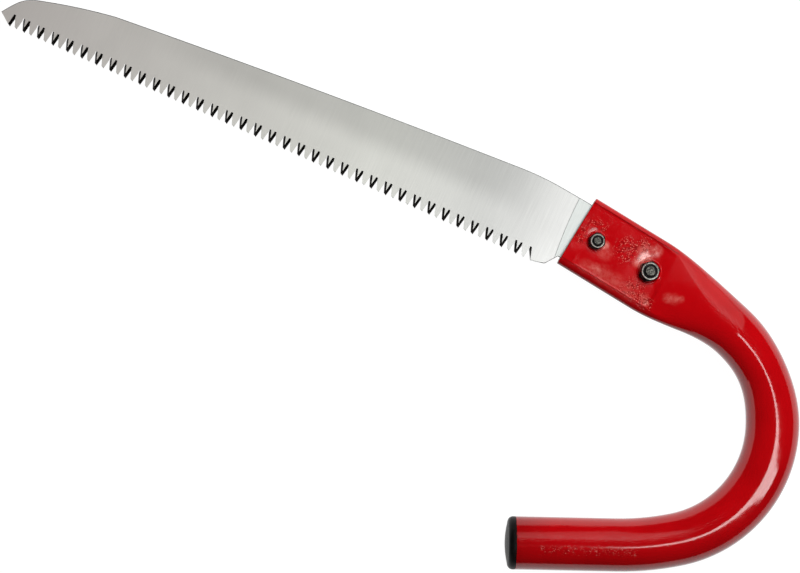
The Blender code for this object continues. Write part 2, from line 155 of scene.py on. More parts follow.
def speckled(name, look):
    # a finish with two shades, an uneven gloss and a fine bump
    finish = Finish(name, look["fixed"])
    tone = finish.grain(finish.place(), *look["toneGrain"])
    if "toneRange" in look:
        tone = finish.levels(tone, *look["toneRange"])
    fine = finish.grain(finish.place(), *look["fineGrain"])
    finish.feed("Base Color", finish.colours(tone, look["dark"], look["light"]))
    finish.feed("Roughness", finish.levels(fine, 0.3, 0.7, *look["roughness"]))
    finish.feed("Normal", finish.bump(fine, *look["bump"]))
    return finish


# Mesh helpers

def addPiece(name, build, finishes, nodes, smoothAngle=35.0):
    mesh = bpy.data.meshes.new(name)
    bmesh.ops.recalc_face_normals(build, faces=build.faces)
    build.to_mesh(mesh)
    build.free()
    piece = bpy.data.objects.new(name, mesh)
    bpy.context.scene.collection.objects.link(piece)
    for finish in finishes:
        mesh.materials.append(finish.material)
    mesh.shade_smooth()
    mesh.set_sharp_from_angle(angle=math.radians(smoothAngle))
    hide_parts(*nodes)
    return piece


def loftRings(rings, looped=False, capEnds=False):
    build = bmesh.new()
    layers = [[build.verts.new(point) for point in ring] for ring in rings]
    if looped:
        layers.append(layers[0])
    count = len(rings[0])
    for lower, upper in zip(layers, layers[1:]):
        for index in range(count):
            after = (index + 1) % count
            build.faces.new((lower[index], lower[after], upper[after], upper[index]))
    if capEnds:
        build.faces.new(reversed(layers[0]))
        build.faces.new(layers[-1])
    return build


# Handle path and flattened end

tube = {
    "wall": 1.25 * mm,
    "gripLength": 54.3 * mm,
    "bends": ((150.0 * mm, 13.0), (64.5 * mm, 76.0), (67.5 * mm, 53.0), (165.0 * mm, 7.7)),
    "socketLength": 74.2 * mm,
    "upperBendSqueeze": 0.9 * mm,
    "ringPoints": 176,
    "beadPoints": 14,            # per quarter ring, round the pressed edge
    "panelPointBias": 1.35,      # draws the panel's points towards its edges
    "firstRings": (0.0, 0.4 * mm, 2 * mm),
    "gripRings": 10,
    "bendStep": 2.0,
    "socketStep": 0.7 * mm,
    "ringGap": 0.5 * mm,
    "insideEvery": 3,            # the bore has one ring for every few of the skin
    # the rounded lip of the mouth: distance back from it, inset
    "lipOutside": ((0.40 * mm, 0.0), (0.12 * mm, 0.10 * mm), (0.0, 0.38 * mm)),
    "lipInside": ((0.0, 0.15 * mm), (0.10 * mm, 0.0)),
}
pressed = {
    "width": 41.2 * mm,
    "edgeThickness": 6.4 * mm,
    "creaseTop": 18.3 * mm,      # the pressed panel ends in a crease along each long side
    "creaseFoot": 16.4 * mm,
    "beadRamp": 1.3 * mm,
    "flatLength": 46.0 * mm,
    "roundingLength": 56.0 * mm,
    "panelLength": 54.6 * mm,
    "cornerRadius": 3.5 * mm,
    "endRamp": 1.6 * mm,         # the panel's end is sharp at the foot and soft at the top
    "endRampTop": 7.0 * mm,
    "endRampChange": (-9 * mm, 12 * mm),     # where that changes: start and width
    "foldStart": 51.0 * mm,      # a fold runs from the panel's top corner into the bend
    "foldEnd": 92.0 * mm,
    "foldRidge": (18.0 * mm, -2.0 * mm),
    "foldFadeIn": (0.0, 0.15),   # start and length, as shares of the fold
    "foldFadeOut": (0.45, 0.55),
    "foldSlope": 0.10,
    "stepStart": 6.8 * mm,       # the skin stands a little proud next to the mouth
    "stepRamp": 1.2 * mm,
    "stepTop": (5 * mm, 4 * mm),     # how far below the axis it starts, and over what width
    "stepHeight": 0.32 * mm,
    "seatHeight": 2.02 * mm,     # skin height above the blade's middle, tight under the nuts
    "panelBulge": 0.85 * mm,     # how far the skin stands up again between the nuts
    "seatReach": 3.0 * mm,
    "waviness": 0.22 * mm,
    "waves": ((75, 3.1, 1.0), (210, 8.7, 0.35)),     # scale, seed and strength
}
bolts = {
    "front": {"fromMouth": 12.0 * mm, "offAxis": 0.8 * mm, "seat": 4.3 * mm, "dent": 0.55},
    "rear": {"fromMouth": 44.6 * mm, "offAxis": 1.6 * mm, "seat": 5.2 * mm, "dent": 1.0},
}

tubeLow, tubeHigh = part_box("handle_tube")
capLow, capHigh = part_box("end_cap")
tubeRadius = (tubeHigh.z - tubeLow.z) / 2
gripEnd = Vector((tubeLow.x, (capLow.y + capHigh.y) / 2))
midHeight = (tubeHigh.z + tubeLow.z) / 2
bendLengths = [radius * math.radians(angle) for radius, angle in tube["bends"]]
pathLength = tube["gripLength"] + sum(bendLengths) + tube["socketLength"]
upperBendStart = tube["gripLength"] + bendLengths[0] + bendLengths[1]
socketHeading = sum(angle for radius, angle in tube["bends"])


def pathAt(distance):
    run = min(distance, tube["gripLength"])
    point = gripEnd + Vector((run, 0.0))
    heading = 0.0
    left = distance - run
    for (radius, angle), length in zip(tube["bends"], bendLengths):
        turn = min(left, length) / radius
        point += radius * Vector((math.sin(heading + turn) - math.sin(heading),
                                  math.cos(heading) - math.cos(heading + turn)))
        heading += turn
        left = max(left - length, 0.0)
    return point + left * Vector((math.cos(heading), math.sin(heading))), heading


mouth = pathAt(pathLength)[0]
inward = Vector((-math.cos(math.radians(socketHeading)), -math.sin(math.radians(socketHeading))))
above = Vector((-inward.y, inward.x))


def fromMouth(distance, offAxis, height=0.0):
    flat = mouth + inward * distance + above * offAxis
    return Vector((flat.x, flat.y, midHeight + height))


def panelHeight(distance, across):
    # the skin is drawn down round each bolt and stands a little proud between them
    rise = 1.0
    for bolt in bolts.values():
        gap = math.hypot(distance - bolt["fromMouth"], across - bolt["offAxis"])
        rise *= 1 - bolt["dent"] * math.exp(-max(gap - bolt["seat"], 0.0) / pressed["seatReach"])
    wave = 0.0
    for scale, seed, strength in pressed["waves"]:
        wave += strength * noise.noise(Vector((distance * scale, across * scale, seed)))
    step = 1 - ease(distance, pressed["stepStart"], pressed["stepRamp"])
    step *= ease(-across, *pressed["stepTop"])
    return (pressed["seatHeight"] + pressed["panelBulge"] * rise + pressed["waviness"] * wave * rise
            + pressed["stepHeight"] * step)


def panelShare(distance, across):
    # 1 inside the pressed panel, 0 outside its creases and beyond its end
    side = pressed["creaseTop"] - across if across > 0 else pressed["creaseFoot"] + across
    ramp = mix(pressed["endRamp"], pressed["endRampTop"], ease(across, *pressed["endRampChange"]))
    end = (pressed["panelLength"] - distance) / ramp * pressed["beadRamp"]
    corner = pressed["cornerRadius"]
    if side < corner and end < corner:
        inside = corner - math.hypot(corner - side, corner - end)
    else:
        inside = min(side, end)
    return ease(inside, 0.0, pressed["beadRamp"])


def foldDrop(distance, across):
    # how far the skin above the fold's ridge lies below the round of the tube
    share = (distance - pressed["foldStart"]) / (pressed["foldEnd"] - pressed["foldStart"])
    if share <= 0 or share >= 1:
        return 0.0
    ridge = mix(*pressed["foldRidge"], share)
    fading = ease(share, *pressed["foldFadeIn"]) * (1 - ease(share, *pressed["foldFadeOut"]))
    return pressed["foldSlope"] * fading * max(across - ridge, 0.0)


def tubeRing(distance, inset):
    point, heading = pathAt(distance)
    fromEnd = pathLength - distance
    roundness = ease(fromEnd, pressed["flatLength"], pressed["roundingLength"])
    bendShare = min(max((distance - upperBendStart) / bendLengths[2], 0.0), 1.0)
    squeeze = tube["upperBendSqueeze"] * math.sin(math.pi * bendShare) ** 2
    radius = tubeRadius - inset
    bead = pressed["edgeThickness"] / 2 - inset
    beadCentre = (pressed["width"] - pressed["edgeThickness"]) / 2
    quarter = tube["ringPoints"] // 4
    side = Vector((math.sin(heading), -math.cos(heading)))
    signs = ((1, 1), (-1, 1), (-1, -1), (1, -1))
    ring = []
    for index, (acrossSign, upSign) in enumerate(signs):
        steps = range(quarter) if index % 2 == 0 else range(quarter, 0, -1)
        for step in steps:
            circle = math.radians(90) * step / quarter
            if step <= tube["beadPoints"]:
                angle = math.radians(90) * step / tube["beadPoints"]
                flatAcross = beadCentre + bead * math.cos(angle)
                flatUp = bead * math.sin(angle)
            else:
                share = (step - tube["beadPoints"]) / (quarter - tube["beadPoints"])
                flatAcross = beadCentre * (1 - share ** tube["panelPointBias"])
                flatUp = bead
            across = mix(flatAcross, (radius - squeeze) * math.cos(circle), roundness)
            up = mix(flatUp, radius * math.sin(circle), roundness)
            up -= min(foldDrop(fromEnd, acrossSign * across), up / 2)
            if flatUp > bead / 2:
                panelUp = panelHeight(fromEnd, acrossSign * across) - inset
                up = mix(up, min(panelUp, up), panelShare(fromEnd, acrossSign * across))
            ring.append((point.x + side.x * across * acrossSign,
                         point.y + side.y * across * acrossSign, midHeight + up * upSign))
    return ring


def tubeStations():
    # distances along the path, closer together in the bends and closest in the flattened end
    stations = list(tube["firstRings"])
    gripStart = stations[-1]
    roundingStart = pathLength - pressed["flatLength"] - pressed["roundingLength"]
    for step in range(1, tube["gripRings"] + 1):
        stations.append(mix(gripStart, tube["gripLength"], step / tube["gripRings"]))
    distance = tube["gripLength"]
    for (radius, angle), length in zip(tube["bends"], bendLengths):
        steps = math.ceil(angle / tube["bendStep"])
        for step in range(1, steps + 1):
            stations.append(distance + length * step / steps)
        distance += length
    stations = [station for station in stations if station < roundingStart - tube["ringGap"]]
    steps = math.ceil((pathLength - roundingStart) / tube["socketStep"])
    for step in range(steps):
        stations.append(mix(roundingStart, pathLength, step / steps))
    return stations


# Red paint

paintLook = {
    "red": (0.36, 0.0005, 0.0022, 1),
    "deepRed": (0.32, 0.0003, 0.0018, 1),
    # painted glint: pale pink on the tops of the paint bubbles
    "bubbleGlint": (0.72, 0.22, 0.17, 1),
    # painted reflection: pale pink where the dished paint would mirror the lamps
    "paintedReflection": (0.66, 0.25, 0.21, 1),
    # painted shade: dark red in the creases, at the feet of the bubbles and under the panel's foot
    "shadeRed": (0.13, 0.0010, 0.0016, 1),
    "roughness": (0.07, 0.13),
    "peelSize": 1.5 * mm,
    "peelDepth": 0.016 * mm,
    "waveDepth": 0.09 * mm,
    "bubbleSize": 0.75 * mm,
    "bubbleDepth": 0.16 * mm,
    "bubbleGlintAndShadeShare": 0.7,           # how far the bubbles' tops take a painted glint and their feet a painted shade
    "creaseWidth": 0.5 * mm,
    "footShade": 0.5,            # painted shade: the tube is darker below the panel
    "lipHeight": 0.34,           # of the lip of paint round each nut, in mm
    "lipEdges": {"front": (4.5 * mm, 5.7 * mm), "rear": (5.7 * mm, 7.1 * mm)},
}
# places where the paint has bubbled, in mm: distance from the mouth, off the axis, reach
roughPatches = ((8, 6, 9), (4, -1, 6), (29, 5, 10), (36, 10, 9), (43, -12, 10), (52, -14, 6))
# and a row of faint ones along the grip
gripPatches = {"from": 14, "to": 66, "every": 6, "offAxis": -1.6, "height": 14.0, "reach": 4.0,
               "strength": 0.45}
# painted reflections, pale patches where the dished paint would mirror the lamps: distance from the mouth,
# off the axis, height, reach in mm, strength
paintedReflectionPatches = (
    # along the foot of the panel
    (19, -12.6, 2.6, 4.5, 0.22), (14, -14, 2.6, 5.5, 0.11), (24, -13, 2.6, 7, 0.12),
    (32, -13, 2.6, 7, 0.12), (41, -13, 2.6, 7, 0.12), (50, -12.5, 2.6, 4, 0.20),
    (52.5, -14.5, 2.6, 2.6, 0.25),
    # by the rear nut
    (39.5, 7.5, 2.6, 5, 0.40), (37.5, 3.0, 2.6, 4.5, 0.32), (37, 10, 2.6, 6, 0.20),
    (42.5, 13, 2.6, 4.5, 0.22),
    # by the front nut
    (17.0, 1.5, 2.6, 3, 0.40), (19, -2, 2.6, 6, 0.16),
    # past the panel
    (60.5, -5.6, 5, 3.8, 0.16), (64, -4.4, 5.4, 4.2, 0.16), (67, -2.6, 6, 2.8, 0.14))

redPaint = Finish("redPaint", {"IOR": 1.5, "Specular IOR Level": 0.5})
paintPlace = redPaint.place()
inFromMouth = along(redPaint, (inward.x, inward.y, 0.0), (mouth.x, mouth.y, 0.0))
offAxis = along(redPaint, (above.x, above.y, 0.0), (mouth.x, mouth.y, 0.0))


def paintPatch(centre, reach, core, strength):
    # full strength inside the core and nothing beyond the reach
    return redPaint.levels(redPaint.away(centre), reach, core, 0.0, strength)


bubbleArea = 0.0
for distance, across, reach in roughPatches:
    centre = fromMouth(distance * mm, across * mm, 2 * mm)
    bubbleArea = paintPatch(centre, reach * mm, reach * mm * 0.3, 1.0) + bubbleArea
for distance in range(gripPatches["from"], gripPatches["to"], gripPatches["every"]):
    centre = Vector((gripEnd.x + distance * mm, gripEnd.y + gripPatches["offAxis"] * mm,
                     midHeight + gripPatches["height"] * mm))
    reach = gripPatches["reach"] * mm
    bubbleArea = paintPatch(centre, reach, reach * 0.3, gripPatches["strength"]) + bubbleArea
bubbleArea = redPaint.levels(bubbleArea, 0.0, 0.9, smooth=False)
scattered = redPaint.levels(redPaint.grain(paintPlace, 420, 2), 0.42, 0.56)
bubbles = redPaint.node("ShaderNodeTexVoronoi", {"feature": "SMOOTH_F1"}, {
    "Vector": paintPlace, "Scale": 1 / paintLook["bubbleSize"], "Smoothness": 0.3})
# the tops of the bubbles stand up in the bump and carry a painted glint; their feet carry a painted shade
bubbleTops = redPaint.levels(bubbles, 0.12, 0.40, 1.0, 0.0) * scattered * bubbleArea
bubbleFootShade = redPaint.levels(bubbles, 0.42, 0.62) * scattered * bubbleArea

# painted reflection: pale pink patches, broken up by a mottle
paintedReflection = 0.0
for distance, across, height, reach, strength in paintedReflectionPatches:
    centre = fromMouth(distance * mm, across * mm, height * mm)
    paintedReflection = paintPatch(centre, reach * mm, reach * 0.2 * mm, strength) + paintedReflection
mottle = redPaint.levels(redPaint.grain(paintPlace, 330, 6, 0.75), 0.36, 0.64, 0.35, 1.45)

# painted shade: darker paint laid along the panel's long creases and on the tube below its foot; the crease
# mask also cuts a small groove in the bump
inPanel = redPaint.levels(inFromMouth, pressed["panelLength"], pressed["panelLength"] - 2 * mm)
creaseShadeAndGroove = 0.0
for middle, weight in ((pressed["creaseTop"] - 0.35 * mm, 0.8), (-pressed["creaseFoot"], 0.6)):
    gap = redPaint.node("ShaderNodeMath", {"operation": "ABSOLUTE"}, {0: offAxis - middle})
    creaseShadeAndGroove = redPaint.levels(gap, paintLook["creaseWidth"], 0.1 * mm, 0.0, weight) + creaseShadeAndGroove
creaseShadeAndGroove = creaseShadeAndGroove * inPanel
footShade = redPaint.levels(offAxis, -pressed["creaseFoot"] + 0.1 * mm, -pressed["creaseFoot"] - 0.5 * mm,
                            0.0, paintLook["footShade"])
footShade = footShade * redPaint.levels(inFromMouth, 75 * mm, 52 * mm)

cloud = redPaint.levels(redPaint.grain(paintPlace, 45, 3), 0.35, 0.75)
paintTone = redPaint.colours(cloud, paintLook["red"], paintLook["deepRed"])
# a random cloud of reds, then painted reflection, painted glint and shade on the bubbles, and painted shade
# in the creases and under the foot
paintTone = redPaint.colours(paintedReflection * mottle, paintTone, paintLook["paintedReflection"])
paintTone = redPaint.colours(bubbleFootShade * paintLook["bubbleGlintAndShadeShare"], paintTone, paintLook["shadeRed"])
paintTone = redPaint.colours(bubbleTops * paintLook["bubbleGlintAndShadeShare"], paintTone, paintLook["bubbleGlint"])
paintTone = redPaint.colours(creaseShadeAndGroove + footShade, paintTone, paintLook["shadeRed"])
redPaint.feed("Base Color", paintTone)
smear = redPaint.grain(paintPlace, 260, 4, 0.6)
redPaint.feed("Roughness", redPaint.levels(smear, 0.3, 0.7, *paintLook["roughness"]))

# a raised lip of paint where each nut has been turned down
lips = 0.0
for label, (inner, outer) in paintLook["lipEdges"].items():
    fromBolt = redPaint.away(fromMouth(bolts[label]["fromMouth"], bolts[label]["offAxis"], 2 * mm))
    crown = (outer + inner) / 2
    lips = redPaint.levels(fromBolt, outer, crown) * redPaint.levels(fromBolt, inner, crown) + lips
lipNormal = redPaint.bump(lips * paintLook["lipHeight"] - creaseShadeAndGroove * 0.10, 1.0 * mm, 0.8)
wave = redPaint.grain(paintPlace, 120, 1.0, 0.4)
waveNormal = redPaint.bump(wave, paintLook["waveDepth"], 0.5, lipNormal)
peel = redPaint.grain(paintPlace, 0.7 / paintLook["peelSize"], 1.0, 0.4)
peelNormal = redPaint.bump(peel, paintLook["peelDepth"], 0.6, waveNormal)
redPaint.feed("Normal", redPaint.bump(bubbleTops, paintLook["bubbleDepth"], 0.9, peelNormal))

stations = tubeStations()
skin = [tubeRing(station, 0.0) for station in stations]
for back, inset in tube["lipOutside"]:
    skin.append(tubeRing(pathLength - back, inset))
for back, less in tube["lipInside"]:
    skin.append(tubeRing(pathLength - back, tube["wall"] - less))
insideStations = stations[tube["insideEvery"]::tube["insideEvery"]]
skin += [tubeRing(station, tube["wall"]) for station in reversed(insideStations)]
skin.append(tubeRing(0.0, tube["wall"]))
handle = addPiece("handleTube", loftRings(skin, looped=True), [redPaint], ["handle_tube"],
                  50.0)
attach(handle, "root")
print("handle done")

# Blade

saw = {
    "thickness": 1.5 * mm,
    "grind": 0.1 * mm,
    "aheadOfMouth": 13.0 * mm,
    "belowAxis": 26.7 * mm,
    "toothLine": 7.3,
    "tips": 73,
    "pitch": 4.3 * mm,
    "edgeWidth": 0.34 * mm,      # bevel along the plate's edges
    "edgeDrop": 0.24 * mm,
    "heelToe": (-7.6, 1.5),      # corners in mm: run from the heel's first tip, rise from the tooth line
    "shoulder": (14.0, 44.4),
    "crest": (-50.8, 28.2),      # and from here on, run from the last tip
    "brow": (-6.5, 18.5),
    "noseCorner": (2.2, 12.2),
    "nose": (7.2, 5.4),
    "heelRounding": 0.8 * mm,
    "shoulderRounding": 15 * mm,
    "tangRounding": 8 * mm,
    "neckAhead": 1.6 * mm,
    "tangLength": 54 * mm,
    "tangTaper": 4 * mm,
    "footGap": 2.2 * mm,         # between the tang and the tube's inside
    "topGap": 3.1 * mm,
}
# one tooth in mm, as run towards the nose and rise, from the top of its nose flank to its heel flank
fullTooth = ((3.3, 6.9), (3.24, 6.1), (3.1, 5.2), (1.5, 0.8), (0.62, 0.33), (0.0, 0.0), (-1.07, 5.2),
             (-1.08, 6.1), (-1.0, 6.9))
groundTooth = ((2.22, 6.9), (1.96, 6.05), (1.68, 5.2), (0.98, 2.7), (0.92, 2.62), (0.86, 2.7), (0.43, 5.2),
               (0.25, 6.05), (0.12, 6.9))
tipPoint = fullTooth.index((0.0, 0.0))
flankPoints = 3     # of the nose flank, above the bend near the tip
lastTip = saw["tips"] - 1


def bladeCorner(label, tips=0):
    run, rise = saw[label]
    return Vector((tips * saw["pitch"] + run * mm, rise * mm))


noseSpot = bladeCorner("nose", lastTip)
heelToe = bladeCorner("heelToe")


def meet(first, firstWay, second, secondWay):
    # where two lines cross
    cross = firstWay.x * secondWay.y - firstWay.y * secondWay.x
    gap = second - first
    return first + firstWay * ((gap.x * secondWay.y - gap.y * secondWay.x) / cross)


def bowed(start, end, bulge, steps):
    # a shallow arc, without its last point
    way = end - start
    out = Vector((-way.y, way.x)).normalized()
    return [start + way * (step / steps) + out * (4 * bulge * step / steps * (1 - step / steps))
            for step in range(steps)]


def rounded(before, corner, after, reach, steps=6):
    start = corner + (before - corner).normalized() * reach
    end = corner + (after - corner).normalized() * reach
    shares = [step / steps for step in range(steps + 1)]
    return [start * (1 - share) ** 2 + corner * (2 * share * (1 - share)) + end * share ** 2
            for share in shares]


def socketToBlade(ahead, over):
    turn = math.radians(saw["toothLine"])
    ahead -= saw["aheadOfMouth"]
    over += saw["belowAxis"]
    return Vector((ahead * math.cos(turn) - over * math.sin(turn),
                   ahead * math.sin(turn) + over * math.cos(turn)))


def toothPoints(shares):
    # shares gives how far the teeth of each parity are ground back in this layer, from 0 to 1
    points = []
    for index in range(lastTip, -1, -1):
        tip = Vector((index * saw["pitch"], 0.0))
        share = shares[index % 2]
        outline = [tip + Vector((mix(full[0], ground[0], share), mix(full[1], ground[1], share))) * mm
                   for full, ground in zip(fullTooth, groundTooth)]
        if index == lastTip:
            flank = outline[tipPoint + 1] - outline[tipPoint]
            foot = meet(tip, noseSpot - tip, outline[tipPoint], flank)
            outline = [foot] + outline[tipPoint + 1:]
        if index == 0:
            flank = outline[flankPoints - 1] - outline[flankPoints]
            foot = meet(tip, heelToe - tip, outline[flankPoints], flank)
            outline = outline[:flankPoints] + [mix(tip, foot, share)]
        points += outline
    return points


def smoothPoints():
    # the plate's outline from the heel round the tang and along the back to the nose
    footSide = saw["footGap"] - pressed["width"] / 2 + tube["wall"]
    topSide = pressed["width"] / 2 - tube["wall"] - saw["topGap"]
    neckFoot = socketToBlade(saw["neckAhead"], footSide)
    neckTop = socketToBlade(saw["neckAhead"], topSide)
    tangFoot = socketToBlade(-saw["tangLength"], footSide + saw["tangTaper"])
    tangTop = socketToBlade(-saw["tangLength"], topSide - saw["tangTaper"])
    crest = bladeCorner("crest", lastTip)
    points = rounded(Vector((0.0, 0.0)), heelToe, neckFoot, saw["heelRounding"])
    points.append(neckFoot)
    points += rounded(neckFoot, tangFoot, tangTop, saw["tangRounding"])
    points += rounded(tangFoot, tangTop, neckTop, saw["tangRounding"])
    points.append(neckTop)
    points += rounded(neckTop, bladeCorner("shoulder"), crest, saw["shoulderRounding"], 12)
    corner = points.pop()
    backRun = ((crest, 1.0, 40), (bladeCorner("brow", lastTip), 0.8, 16),
               (bladeCorner("noseCorner", lastTip), 0.7, 10), (noseSpot, 0.1, 4))     # bulge in mm, steps
    for after, bulge, steps in backRun:
        points += bowed(corner, after, bulge * mm, steps)
        corner = after
    points.append(corner)
    return points


def insetPoints(points, amount):
    moved = []
    for index, point in enumerate(points):
        before = points[max(index - 1, 0)]
        after = points[min(index + 1, len(points) - 1)]
        way = (after - before).normalized()
        moved.append(point + Vector((way.y, -way.x)) * amount)
    return moved


def bladePoint(point, height):
    turn = math.radians(saw["toothLine"])
    ahead = -saw["aheadOfMouth"] - point.x * math.cos(turn) - point.y * math.sin(turn)
    over = -saw["belowAxis"] - point.x * math.sin(turn) + point.y * math.cos(turn)
    flat = mouth + inward * ahead + above * over
    return (flat.x, flat.y, midHeight + height)


shadedBevelIndex, litFacetIndex, shadedEdgeIndex = 1, 2, 3     # materials: the teeth's bevels in painted shade, their facets with a painted highlight, the plate's edges in painted shade
facetPoint = tipPoint - 1                       # the facet lies between this point and the tip


def addBlade():
    half = saw["thickness"] / 2
    smooth = smoothPoints()
    drop = saw["edgeDrop"] / saw["thickness"]
    # each layer: height, how far the even and the odd teeth are ground back, inset of the other edges
    layers = ((-half, (0.0, 1.0), saw["edgeWidth"]), (-half + saw["edgeDrop"], (drop, 1 - drop), 0.0),
              (half - saw["edgeDrop"], (1 - drop, drop), 0.0), (half, (1.0, 0.0), saw["edgeWidth"]))
    build = bmesh.new()
    rings = []
    for height, shares, inset in layers:
        points = toothPoints(shares) + insetPoints(smooth, inset)
        rings.append([build.verts.new(bladePoint(point, height)) for point in points])
    count = len(rings[0])
    toothEdges = []     # one material number for each point of the teeth
    for index in range(lastTip, -1, -1):
        points = [shadedBevelIndex] * len(fullTooth)
        if index % 2 == 0:
            points[facetPoint] = litFacetIndex
        if index == lastTip:
            points = [shadedBevelIndex] * (len(fullTooth) - tipPoint)
        if index == 0:
            points = [shadedBevelIndex] * (flankPoints + 1)
        toothEdges += points
    for lower, upper in zip(rings, rings[1:]):
        for index in range(count):
            after = (index + 1) % count
            face = build.faces.new((lower[index], lower[after], upper[after], upper[index]))
            face.material_index = toothEdges[index] if index < len(toothEdges) else shadedEdgeIndex
    build.faces.new(reversed(rings[0]))
    build.faces.new(rings[-1])
    return build


# Blade steel

steelLook = {
    # painted reflection: the plate's brightness from the heel to the nose, standing in for how the brushed
    # steel mirrors the lamps
    "reflectionFade": ((0.0, (0.71, 0.715, 0.70, 1)), (0.13, (0.60, 0.605, 0.585, 1)),
             (0.34, (0.71, 0.715, 0.67, 1)), (0.62, (0.685, 0.675, 0.635, 1)),
             (1.0, (0.635, 0.60, 0.57, 1))),
    "tang": (0.64, 0.67, 0.65, 1),
    "grindStart": 6.2 * mm,
    "grindLean": 6.0 * mm,
    "grindBow": 2.1,
    "grindLine": 0.22,           # how much darker the line where the grinding starts is
    "backBand": 0.20,            # the plate is darker towards its back
    "tipMarks": 0.32,            # and at the tips of the teeth
    "roughness": (0.40, 0.46),
    "scratchDepth": 0.010 * mm,
    "lineStretch": 0.012,        # the grinding lines run across the blade
}
bladeAcross = Vector(bladePoint(Vector((0.0, 1.0)), 0)) - Vector(bladePoint(Vector((0.0, 0.0)), 0))
bladeAlong = Vector(bladePoint(Vector((1.0, 0.0)), 0)) - Vector(bladePoint(Vector((0.0, 0.0)), 0))
heelTip = Vector(bladePoint(Vector((0.0, 0.0)), 0))
bladeLength = lastTip * saw["pitch"]


def grindDistance(finish):
    # metres ahead of the bowed line near the mouth where the grinding starts
    ahead = along(finish, (-inward.x, -inward.y, 0.0), (mouth.x, mouth.y, 0.0))
    over = along(finish, (above.x, above.y, 0.0), (mouth.x, mouth.y, 0.0))
    line = over * (steelLook["grindLean"] / pressed["width"]) + steelLook["grindStart"]
    return ahead - line + over * over * steelLook["grindBow"]


bladeSteel = Finish("bladeSteel", {"Metallic": 1.0})
run = along(bladeSteel, bladeAlong, heelTip)      # metres from the heel tooth towards the nose
rise = along(bladeSteel, bladeAcross, heelTip)    # metres from the tooth tips towards the back
lines = bladeSteel.node("ShaderNodeCombineXYZ",
                        sockets={"X": run, "Y": rise * steelLook["lineStretch"]})
fine = bladeSteel.grain(lines, 5200, 2.0, 0.6)
broad = bladeSteel.grain(lines, 700, 3.0, 0.6)
slow = bladeSteel.grain(bladeSteel.place(), 22, 2.0, 0.5)
# painted reflection along the blade
reflectionFade = bladeSteel.node("ShaderNodeValToRGB", {"stops": steelLook["reflectionFade"]}, {
    "Fac": bladeSteel.levels(run, -0.01, bladeLength, smooth=False)})
backBand = bladeSteel.levels(rise, 16 * mm, 30 * mm)
backBand = backBand * bladeSteel.levels(run, bladeLength * 0.9, bladeLength * 0.5)
backBand = backBand * bladeSteel.levels(run, -5 * mm, 50 * mm)
scratches = bladeSteel.levels(fine * 0.6 + broad * 0.4, 0.3, 0.7, -0.5, 0.5, smooth=False)
lineTone = 1.0 + scratches * bladeSteel.levels(run, bladeLength * 0.7, 0.0, 0.08, 0.20)
lineTone = lineTone * bladeSteel.levels(slow, 0.3, 0.7, 0.96, 1.03) * (1.0 - backBand * steelLook["backBand"])
tangShare = bladeSteel.levels(grindDistance(bladeSteel), 0.0, -0.15 * mm)
lineGap = bladeSteel.node("ShaderNodeMath", {"operation": "ABSOLUTE"},
                          {0: grindDistance(bladeSteel) + 0.1 * mm})
grindLine = bladeSteel.levels(lineGap, 0.4 * mm, 0.05 * mm)
lineTone = lineTone * (1.0 - grindLine * steelLook["grindLine"])
tipMarks = bladeSteel.levels(rise, 1.0 * mm, 0.3 * mm)
lineTone = lineTone * (1.0 - tipMarks * steelLook["tipMarks"])
tinted = bladeSteel.colours(tangShare, reflectionFade, steelLook["tang"])
toneScale = bladeSteel.node("ShaderNodeVectorMath", {"operation": "SCALE"},
                            {0: tinted, "Scale": lineTone}, output="Vector")
bladeSteel.feed("Base Color", toneScale)
bladeSteel.feed("Roughness", bladeSteel.levels(broad, 0.3, 0.7, *steelLook["roughness"], smooth=False))
grindStep = bladeSteel.bump(tangShare, saw["grind"], 1.0)
brushed = fine * 0.7 + broad * 0.3
bladeSteel.feed("Normal", bladeSteel.bump(brushed, steelLook["scratchDepth"], 0.5, grindStep))

# lit and shaded copies of one steel: dark for the tooth bevels and the plate's edges as painted shade, pale
# for the teeth's front facets as a painted highlight
bevelLook = {"fixed": {"Metallic": 1.0}, "toneGrain": (5200, 3.0, 0.6), "fineGrain": (5200, 3.0, 0.6),
             "roughness": (0.22, 0.36), "bump": (0.01 * mm, 0.5)}
shadedBevelSteel = speckled("shadedBevelSteel", {**bevelLook, "dark": (0.010, 0.009, 0.008, 1),
                                     "light": (0.032, 0.029, 0.026, 1)})
shadedEdgeSteel = speckled("shadedEdgeSteel", {**bevelLook, "dark": (0.20, 0.21, 0.20, 1),
                                   "light": (0.32, 0.33, 0.32, 1)})
litFacetSteel = speckled("litFacetSteel", {**bevelLook, "dark": (0.13, 0.13, 0.125, 1),
                                     "light": (0.24, 0.24, 0.23, 1)})

blade = addPiece("sawBlade", addBlade(), [bladeSteel, shadedBevelSteel, litFacetSteel, shadedEdgeSteel], ["blade"],
                 12.0)
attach(blade, "root")
print("blade done")

# Bolts and lock nuts

